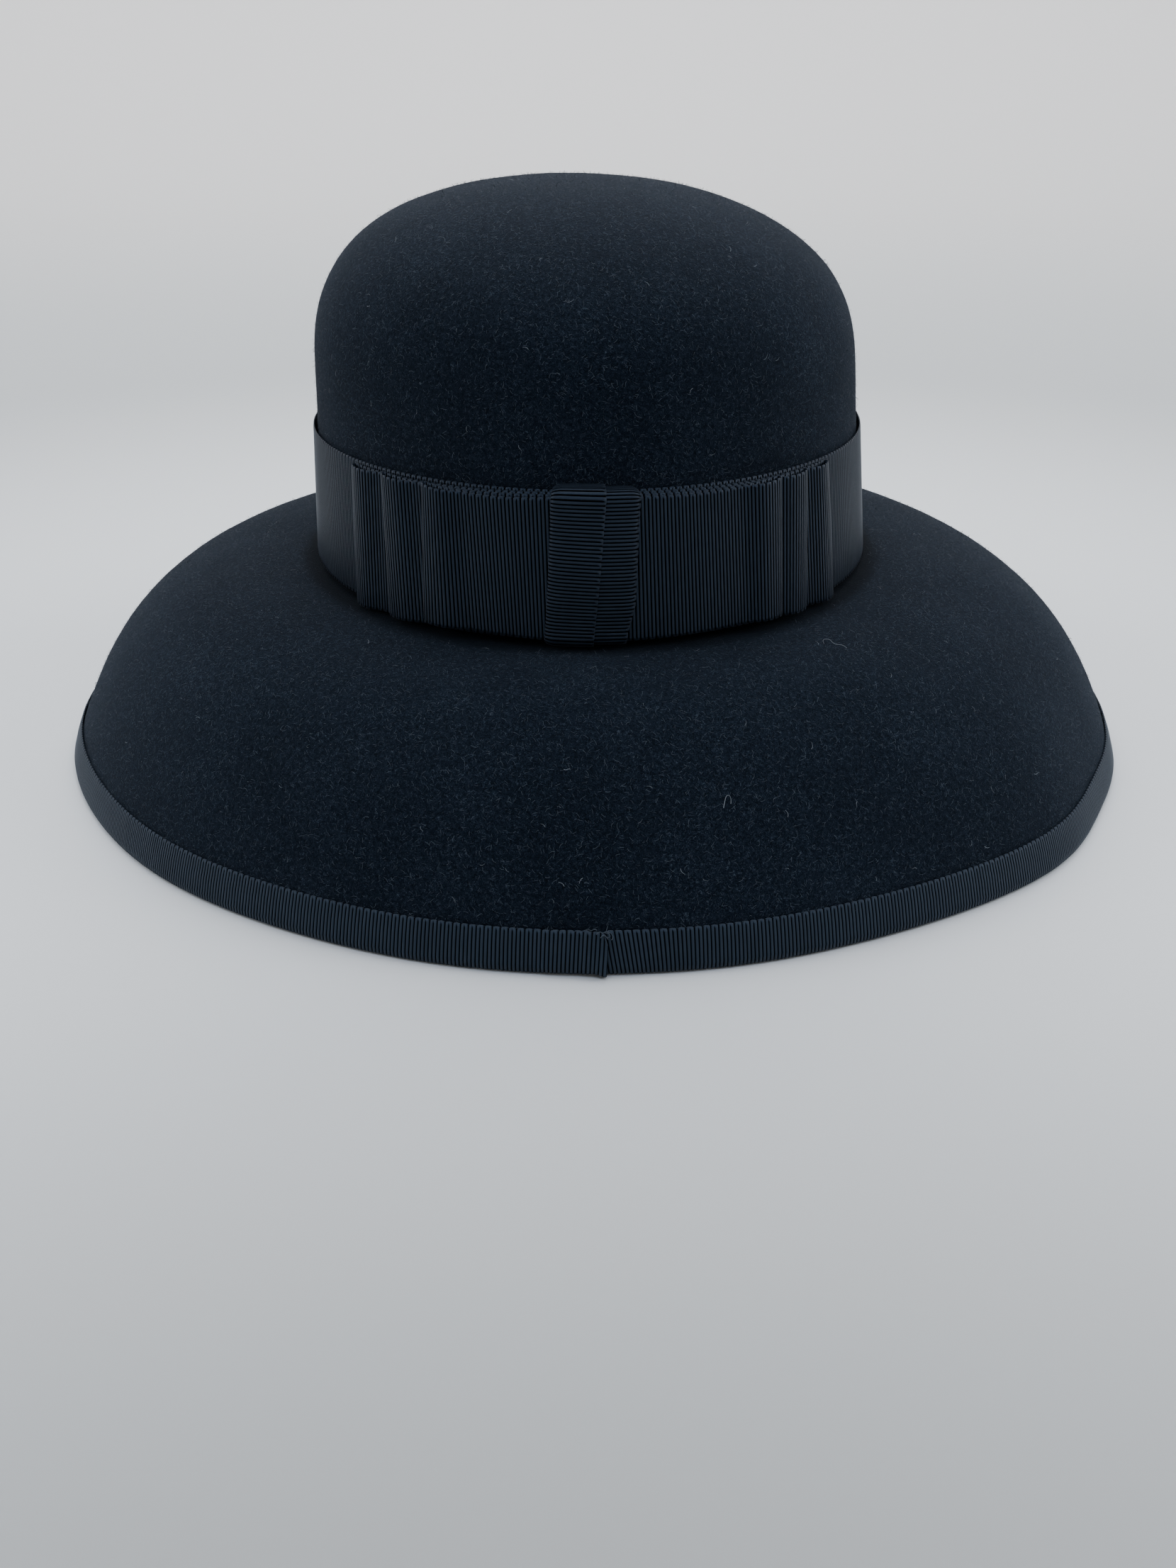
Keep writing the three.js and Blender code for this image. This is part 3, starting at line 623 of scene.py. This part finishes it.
def bow_knot():
    """The upright ribbon round the middle of the bow, folded lengthwise so that its flap lies on top."""
    path = stations_along(knot_path(), closed=False)
    height, out = path[:, 0], path[:, 1]
    level = np.clip((height - BAND_BOTTOM) / BAND_HEIGHT, 0, 1)
    waist = KNOT_WAIST * np.sin(math.pi * level)
    right = KNOT_WIDTH / 2 - waist
    left = -KNOT_WIDTH / 2 + waist
    flap = FLAP_EDGE + FLAP_SKEW * (level - 0.5)
    turn = FLAP_LIFT / 2
    right = right - KNOT_NIP * smooth((KNOT_NIP_BELOW - level) / KNOT_NIP_BELOW)
    # From the right edge to the left, round the lengthwise fold, and back over to the flap's edge
    columns = [(right, 0.0), (right - SELVEDGE, 0.0)]
    columns += [(right * share, 0.0) for share in KNOT_RIGHT_ROWS]
    columns += [(left * share, 0.0) for share in KNOT_LEFT_ROWS]
    columns.append((left + turn, 0.0))
    for angle in (math.pi * 0.25, math.pi * 0.5, math.pi * 0.75):
        columns.append((left + turn - turn * math.sin(angle), turn - turn * math.cos(angle)))
    columns.append((left + turn, FLAP_LIFT))
    columns += [(left * share, FLAP_LIFT) for share in FLAP_ROWS]
    columns += [(flap - SELVEDGE, FLAP_LIFT), (flap, FLAP_LIFT)]
    across = np.stack([place for place, _ in columns], axis=1)
    edge = np.clip((np.abs(across) - (-left - KNOT_ROUNDED)[:, None]) / KNOT_ROUNDED, 0, 1)
    backward = KNOT_BACKWARD * (1 - np.sqrt(1 - KNOT_QUARTER * edge * edge))
    lift = np.array([value for _, value in columns])[None, :] - backward
    # The ribs of the flap sink towards its edge, so each column's places slide a little along the path
    station = np.arange(len(path))[:, None]
    steps = FLAP_SAG * len(RIB_SHAPE) / RIB_PITCH
    sag = steps * np.clip(lift / FLAP_LIFT, 0, 1) * (across - left[:, None]) / KNOT_WIDTH
    slid = station + sag * np.sin(math.pi * station / (len(path) - 1))
    height, out, tangent_up, tangent_out = [
        np.interp(slid, station[:, 0], column)
        for column in (height, out, *unit(np.gradient(path, axis=0)).T)]
    up = height + lift * tangent_out
    off = out - lift * tangent_up
    lean = KNOT_SKEW * (level - 0.5)[:, None]
    grid = band_point(KNOT_CENTRE + across + lean, up, off)
    knot = grosgrain("ribbon_bow_knot", grid, False, band_ribbon)
    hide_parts("bow_knot")


def rim_profile():
    """The brim's underside by the rim: for angles all round, two places on it, low and high, as (out, up)."""
    node = frame["nodes"]["brim_binding"]
    tree = BVHTree.FromPolygons([v.co for v in node.data.vertices], [p.vertices for p in node.data.polygons])
    angles = np.arange(RIM_SAMPLES) * 2 * math.pi / RIM_SAMPLES - math.pi / 2
    found = []
    for angle in angles:
        outward = Vector((math.cos(angle), math.sin(angle), 0))
        pair = []
        for up in RIM_HEIGHTS:
            hit = tree.ray_cast(outward * RIM_LOOK_START + Vector((0, 0, up)), outward)[0]
            pair += [hit.xy.length, up]
        found.append(pair)
    found = np.array(found)
    spread = range(-(RIM_SMOOTHING // 2), RIM_SMOOTHING // 2 + 1)
    return angles, sum(np.roll(found, k, axis=0) for k in spread) / RIM_SMOOTHING


def brim_binding():
    """The ribbon folded over the rim: it starts under its own lap at the back and goes round to its hem."""
    angles, places = rim_profile()
    rim = np.stack([places[:, 0] * np.cos(angles), places[:, 0] * np.sin(angles)], axis=1)
    rim = np.concatenate([rim, rim[:1]])
    angles = np.append(angles, angles[0] + 2 * math.pi)
    places = np.concatenate([places, places[:1]])
    lengths = np.concatenate([[0], np.cumsum(np.linalg.norm(np.diff(rim, axis=0), axis=1))])
    girth = lengths[-1]
    start, end = BINDING_JOIN - BINDING_LAP, BINDING_JOIN + girth
    ribs = 2 * round((end - start) / RIB_PITCH / 2)
    place = np.linspace(start, end, ribs * len(RIB_SHAPE) + 1)[:, None]
    before_end = end - place
    after_join = np.abs(place - BINDING_JOIN)
    corner = 1 - smooth(before_end / HEM_CORNER_LONG)
    corner = corner + 1 - smooth((after_join - JOIN_CORNER_START) / JOIN_CORNER_LONG)
    tall = BINDING_TALL - JOIN_CORNER * np.clip(corner, 0, 1)
    # Down the outside, round the rim and up the inside; side goes from 1 outside to -1 inside
    levels = (1.0, 1 - SELVEDGE / BINDING_TALL, BINDING_ROW)
    turns = np.linspace(0, math.pi, 5)
    up = [level * tall for level in levels]
    up += [BINDING_FOLD * (1 - math.sin(turn)) + 0 * tall for turn in turns]
    up += [level * tall for level in levels[::-1]]
    up = np.concatenate(up, axis=1)
    side = np.array([1] * len(levels) + [math.cos(turn) for turn in turns] + [-1] * len(levels))[None, :]
    slant = JOIN_SLANT_LEFT * (1 - smooth(before_end / JOIN_SPREAD))
    slant = slant - JOIN_SLANT_RIGHT * (1 - smooth(after_join / JOIN_SPREAD))
    shifted = place + slant * up / BINDING_TALL
    angle = np.interp(np.mod(shifted, girth), lengths, angles)
    low_out, low_up, high_out, high_up = [np.interp(np.mod(shifted, girth), lengths, c) for c in places.T]
    down = unit(np.stack([low_out - high_out, low_up - high_up], axis=-1))
    off = np.stack([-down[..., 1], down[..., 0]], axis=-1)
    origin = np.stack([low_out, low_up], axis=-1) + down * (low_up / -down[..., 1])[..., None]
    lap = LAP_LIFT * smooth((BINDING_LAP + LAP_RISE - before_end) / LAP_RISE)
    lap = lap + HEM_LIFT * smooth((BINDING_HEM + HEM_RISE - before_end) / HEM_RISE)
    foot = JOIN_FOOT * (1 - smooth(before_end / FOOT_LONG)) * (1 - smooth(up / FOOT_TALL))
    middle = (BINDING_OUTER + BINDING_INNER) / 2
    half = (BINDING_OUTER - BINDING_INNER) / 2
    near_edge = np.clip((up / BINDING_TALL - EDGE_FROM) / (1 - EDGE_FROM), 0, 1)
    press = EDGE_PRESS * near_edge ** 2 * (side > 0)
    deep = middle + side * (half + lap) + foot - press
    flat = origin - down * up[..., None] + off * deep[..., None]
    lowest = flat[..., 1].min(axis=1, keepdims=True) - CORD_HALF
    flat = flat - down * (lowest / down[..., 1])[..., None]
    grid = np.stack([flat[..., 0] * np.cos(angle), flat[..., 0] * np.sin(angle), flat[..., 1]], axis=-1)
    binding = grosgrain("grosgrain_binding", grid, False, binding_ribbon)
    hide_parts("brim_binding")
    join_threads(Vector(grid[-len(RIB_SHAPE), 0]))


# Felt


def paint_shade_under_bow(mesh):
    """Stores on each point how much painted shade it gets under the bow and band: 1 right under them, 0
    beyond them.
    """
    places = np.array([v.co for v in mesh.vertices])
    faces_up = np.array([v.normal.z for v in mesh.vertices]) > 0
    across = (places[:, 0] - BAND_CENTRE.x) / BAND_HALF.x
    along = (places[:, 1] - BAND_CENTRE.y + PAINTED_SHADE_SHIFT) / BAND_HALF.y
    beyond = smooth((np.hypot(across, along) - PAINTED_SHADE_START) / (PAINTED_SHADE_END - PAINTED_SHADE_START))
    below = places[:, 2] < BAND_BOTTOM + PAINTED_SHADE_TALL
    layer = mesh.attributes.new("shelter", "FLOAT", "POINT")
    layer.data.foreach_set("value", np.where(faces_up & below, 1 - beyond, 0.0).astype(np.float32))


def blocked_felt():
    """The crown and brim: the model's own shell, merged, rounded and made as uneven as steamed felt."""
    select_only(frame["nodes"]["felt_body"])
    bpy.ops.object.duplicate()
    felt = bpy.context.view_layer.objects.active
    felt.name = "blocked_felt"
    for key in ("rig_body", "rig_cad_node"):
        del felt[key]
    felt.data.materials.clear()
    bpy.ops.object.mode_set(mode="EDIT")
    bpy.ops.mesh.select_all(action="SELECT")
    bpy.ops.mesh.remove_doubles(threshold=0.01 * MM)
    bpy.ops.mesh.tris_convert_to_quads(face_threshold=math.radians(60), shape_threshold=math.radians(60))
    bpy.ops.object.mode_set(mode="OBJECT")
    rounding = felt.modifiers.new("rounding", "SUBSURF")
    rounding.levels = rounding.render_levels = 2
    bpy.ops.object.modifier_apply(modifier=rounding.name)
    # Clouds of unevenness: how wide and how deep, in millimetres
    for name, size, strength in (("hand_blocking", 45, 0.5), ("steam_waves", 14, 0.22)):
        clouds = bpy.data.textures.new(name, "CLOUDS")
        clouds.noise_scale = size * MM
        uneven = felt.modifiers.new(name, "DISPLACE")
        uneven.texture = clouds
        uneven.texture_coords = "LOCAL"
        uneven.mid_level = 0.5
        uneven.strength = strength * MM
        bpy.ops.object.modifier_apply(modifier=uneven.name)
    bpy.ops.object.shade_smooth()
    paint_shade_under_bow(felt.data)
    felt.data.materials.append(wool_felt)
    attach(felt, "root")
    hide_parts("felt_body")
    return felt


def single_fibre(name, length, width, bends):
    """One bent fibre, a flat strand that stands along +Z from its root and faces +X and -X."""
    bpy.ops.object.select_all(action="DESELECT")
    bpy.ops.mesh.primitive_plane_add(size=1, location=(0, 0, length / 2), rotation=(0, math.pi / 2, 0))
    fibre = bpy.context.view_layer.objects.active
    fibre.name = name
    fibre.scale = (length, width, 1)
    bpy.ops.object.transform_apply(location=True, rotation=True, scale=True)
    bpy.ops.object.mode_set(mode="EDIT")
    bpy.ops.mesh.select_all(action="SELECT")
    bpy.ops.mesh.bisect(plane_co=(0, 0, length / 3), plane_no=(0, 0, 1))
    bpy.ops.mesh.select_all(action="SELECT")
    bpy.ops.mesh.bisect(plane_co=(0, 0, 2 * length / 3), plane_no=(0, 0, 1))
    bpy.ops.object.mode_set(mode="OBJECT")
    for share, aside, lift in bends:
        for vertex in fibre.data.vertices:
            vertex.select = abs(vertex.co.z - share * length) < length / 50
        for edge in fibre.data.edges:
            edge.select = False
        for face in fibre.data.polygons:
            face.select = False
        bpy.ops.object.mode_set(mode="EDIT")
        bpy.ops.transform.translate(value=(-lift * length, aside * length, 0))
        bpy.ops.object.mode_set(mode="OBJECT")
    return fibre


def scatter(name, fibre, material, per_area, seed, lean, sizes):
    """Strews copies of a fibre over the outside of the felt as one joined mesh, so many to a square metre.

    Each leans over from the felt's normal, by radians, until it almost lies, and is turned its own way.
    """
    bpy.ops.object.select_all(action="DESELECT")
    bpy.ops.mesh.primitive_plane_add(size=MM)
    strewn = bpy.context.view_layer.objects.active
    strewn.name = name
    tree = bpy.data.node_groups.new(name + "_nodes", "GeometryNodeTree")
    tree.interface.new_socket("Geometry", in_out="INPUT", socket_type="NodeSocketGeometry")
    tree.interface.new_socket("Geometry", in_out="OUTPUT", socket_type="NodeSocketGeometry")
    tree.nodes.new("NodeGroupInput")
    output = tree.nodes.new("NodeGroupOutput")
    surface = add_node(tree, "GeometryNodeObjectInfo", {"Object": felt})
    one = add_node(tree, "GeometryNodeObjectInfo", {"Object": fibre})
    position = add_node(tree, "GeometryNodeInputPosition")
    normal = add_node(tree, "GeometryNodeInputNormal")
    away = add_node(tree, "ShaderNodeVectorMath", {"operation": "SUBTRACT", 1: INNER_POINT},
                    {0: position.outputs["Position"]})
    facing = add_node(tree, "ShaderNodeVectorMath", {"operation": "DOT_PRODUCT"},
                      {0: away.outputs["Vector"], 1: normal.outputs["Normal"]})
    outside = add_node(tree, "ShaderNodeMath", {"operation": "GREATER_THAN", 1: 0.0},
                       {0: facing.outputs["Value"]})
    # Fewer fibres stand where the felt has painted shade, so that it stays dark there
    shelter = add_node(tree, "GeometryNodeInputNamedAttribute", {"data_type": "FLOAT", "Name": "shelter"})
    density = add_node(tree, "ShaderNodeMath", {"operation": "MULTIPLY_ADD", 1: -per_area, 2: per_area},
                       {0: shelter.outputs["Attribute"]})
    points = add_node(tree, "GeometryNodeDistributePointsOnFaces", {"Seed": seed}, {
        "Mesh": surface.outputs["Geometry"], "Selection": outside.outputs["Value"],
        "Density": density.outputs["Value"],
    })
    turn = add_node(tree, "FunctionNodeRandomValue", {
        "data_type": "FLOAT_VECTOR", "Seed": seed + 1,
        0: (-FIBRE_ROLL, lean[0], -math.pi), 1: (FIBRE_ROLL, lean[1], math.pi),
    })
    turned = add_node(tree, "FunctionNodeRotateRotation", {"rotation_space": "LOCAL"}, {
        "Rotation": points.outputs["Rotation"], "Rotate By": turn.outputs[0],
    })
    size = add_node(tree, "FunctionNodeRandomValue", {"Seed": seed + 2, 2: sizes[0], 3: sizes[1]})
    placed = add_node(tree, "GeometryNodeInstanceOnPoints", links={
        "Points": points.outputs["Points"], "Instance": one.outputs["Geometry"],
        "Rotation": turned.outputs["Rotation"], "Scale": size.outputs[1],
    })
    joined = add_node(tree, "GeometryNodeRealizeInstances", links={"Geometry": placed.outputs["Instances"]})
    tree.links.new(joined.outputs["Geometry"], output.inputs["Geometry"])
    strewing = strewn.modifiers.new("strewing", "NODES")
    strewing.node_group = tree
    bpy.ops.object.modifier_apply(modifier=strewing.name)
    strewn.data.materials.clear()
    strewn.data.materials.append(material)
    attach(strewn, "root")


def stray_hairs(name, routes, radius, material):
    """Long loose fibres, each a smooth curve through a list of places."""
    bpy.ops.object.select_all(action="DESELECT")
    bpy.ops.curve.primitive_nurbs_path_add()
    hair = bpy.context.view_layer.objects.active
    hair.name = name
    hair.data.splines.clear()
    for route in routes:
        spline = hair.data.splines.new("NURBS")
        spline.points.add(len(route) - 1)
        for point, place in zip(spline.points, route):
            point.co = (*place, 1)
        spline.order_u = 3
        spline.use_endpoint_u = True
        spline.resolution_u = 6
    hair.data.bevel_depth = radius
    hair.data.bevel_resolution = 0
    hair.data.use_fill_caps = True
    select_only(hair)
    bpy.ops.object.convert(target="MESH")
    hair.data.materials.clear()
    hair.data.materials.append(material)
    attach(hair, "root")


def lint_on_felt(name, routes, material):
    """Long fibres that lie on the felt along routes of (across, along) places in millimetres."""
    tree = BVHTree.FromPolygons([v.co for v in felt.data.vertices], [p.vertices for p in felt.data.polygons])
    landed = []
    for route in routes:
        starts = [Vector((x * MM, y * MM, ABOVE_HAT)) for x, y in route]
        hits = [tree.ray_cast(start, Vector((0, 0, -1)))[0] for start in starts]
        landed.append([hit + Vector((0, 0, LONG_LINT_RADIUS)) for hit in hits])
    stray_hairs(name, landed, LONG_LINT_RADIUS, material)


def join_threads(corner):
    """The frayed selvedge threads in the notch where the binding's ends lap."""
    routes = []
    for route in JOIN_THREADS:
        routes.append([corner + Vector((x * MM, -out * MM, up * MM)) for x, up, out in route])
    stray_hairs("join_threads", routes, THREAD_RADIUS, thread_grey)


wool_felt = felt_material()
# The frayed threads are painted lighter than the ribbon they come from, as painted sheen
thread_grey = fibre_material("frayed ribbon thread", "#272e35", "#39434d", 0.1)
band_ribbon = ribbon_material("viscose grosgrain, bow and band", "#1a212a", 0.3, 0.05, 0.3, 0.45)
binding_ribbon = ribbon_material("viscose grosgrain, binding", "#202831", 0.1, 0.06, 0.28, 0.5)

felt = blocked_felt()
hat_band()
for loop_row in LOOPS:
    bow_loop(loop_row)
bow_knot()
brim_binding()

pale_lint = fibre_material("pale lint", "#575c61", "#7d848b", 0.05)
grey_lint = fibre_material("grey lint", "#3a4046", "#545c64", 0.05)
nap_fibre = single_fibre("nap_fibre", NAP_LENGTH, NAP_WIDTH, NAP_BENDS)
lint_fibre = single_fibre("lint_fibre", LINT_LENGTH, LINT_WIDTH, LINT_BENDS)
# The loose nap is the felt's own wool, painted lighter than the felt as painted sheen
loose_nap = fibre_material("loose wool nap", "#2c3138", "#3f4750", 0.05)
scatter("felt_nap", nap_fibre, loose_nap, per_area=180000, seed=11, lean=(0.9, 1.35), sizes=(0.5, 1.3))
scatter("felt_nap_low", nap_fibre, loose_nap, per_area=180000, seed=31, lean=(1.2, 1.5), sizes=(0.4, 1.0))
scatter("felt_lint", lint_fibre, pale_lint, per_area=3500, seed=23, lean=(1.3, 1.55), sizes=(0.2, 0.75))
scatter("felt_lint_grey", lint_fibre, grey_lint, per_area=30000, seed=43, lean=(1.3, 1.55), sizes=(0.2, 0.6))
lint_on_felt("long_lint", LONG_LINT, pale_lint)
for spare in (nap_fibre, lint_fibre):
    bpy.data.objects.remove(spare)


# Stage and light


def stage():
    """A round floor whose edge curves up into a plain backdrop on every side."""
    bpy.ops.object.select_all(action="DESELECT")
    bpy.ops.mesh.primitive_circle_add(vertices=96, radius=FLOOR_RADIUS, fill_type="NGON")
    sweep = bpy.context.view_layer.objects.active
    sweep.name = "studio_floor"
    bpy.ops.object.mode_set(mode="EDIT")
    bpy.ops.mesh.select_all(action="SELECT")
    bpy.ops.mesh.select_mode(type="EDGE")
    radius = FLOOR_RADIUS
    for step in range(1, SWEEP_STEPS + 1):
        before, after = [(step + k) * math.pi / 2 / SWEEP_STEPS for k in (-1, 0)]
        wider = radius + SWEEP_CURVE * (math.sin(after) - math.sin(before))
        bpy.ops.mesh.extrude_region_move(
            TRANSFORM_OT_translate={"value": (0, 0, SWEEP_CURVE * (math.cos(before) - math.cos(after)))})
        bpy.ops.transform.resize(value=(wider / radius, wider / radius, 1), center_override=(0, 0, 0))
        radius = wider
    bpy.ops.mesh.extrude_region_move(TRANSFORM_OT_translate={"value": (0, 0, WALL_HEIGHT)})
    bpy.ops.object.mode_set(mode="OBJECT")
    bpy.ops.object.shade_smooth()
    sweep.data.materials.append(paper_material(
        "studio paper", floor="#d8dbdc", painted_dim="#adb0b1", painted_wall_light="#dbdad9", painted_shadow="#8d8f8e"))


def softbox(name, place, size, power, colour, target=CROWN_MIDDLE):
    """A large soft lamp that looks at the crown, or at another place."""
    data = bpy.data.lights.new(name, "AREA")
    data.shape = "RECTANGLE"
    data.size, data.size_y = size
    data.energy = power
    data.color = hex_colour(colour)[:3]
    lamp = bpy.data.objects.new(name, data)
    bpy.context.scene.collection.objects.link(lamp)
    lamp.location = place
    lamp.rotation_euler = (Vector(target) - Vector(place)).to_track_quat("-Z", "Y").to_euler()


def daylight(strength, colour):
    """Even light from every side, as in a white room."""
    world = bpy.data.worlds.new("studio")
    world.use_nodes = True
    bpy.context.scene.world = world
    background = world.node_tree.nodes["Background"]
    background.inputs["Color"].default_value = hex_colour(colour)
    background.inputs["Strength"].default_value = strength


def camera():
    """The photograph's view: from behind the hat and a little above, close to it."""
    data = bpy.data.cameras.new("photograph")
    data.sensor_width = 36
    data.lens = CAMERA_LENS
    data.clip_start = 0.01
    view = bpy.data.objects.new("photograph", data)
    bpy.context.scene.collection.objects.link(view)
    view.location = CAMERA_PLACE
    view.rotation_euler = (math.radians(90 - CAMERA_DOWN), 0, 0)
    bpy.context.scene.camera = view


stage()
softbox("overhead", place=(0, 0.9, 1.9), size=(1.8, 1.4), power=38, colour="#fbfcff")
softbox("left", place=(-1.65, -0.1, 1.0), size=(0.7, 1.2), power=12, colour="#fbfcff")
softbox("right", place=(1.65, -0.1, 1.0), size=(0.7, 1.2), power=16.5, colour="#fbfcff")
softbox("front", place=(0, -1.1, 1.8), size=(1.6, 0.9), power=14.5, colour="#d5e4ff")
softbox("backdrop", place=(0, 0.9, 2.0), size=(1.6, 0.5), power=48, colour="#fbfcff", target=(0, 2.8, 1.2))
daylight(strength=0.73, colour="#ebf2fb")
camera()
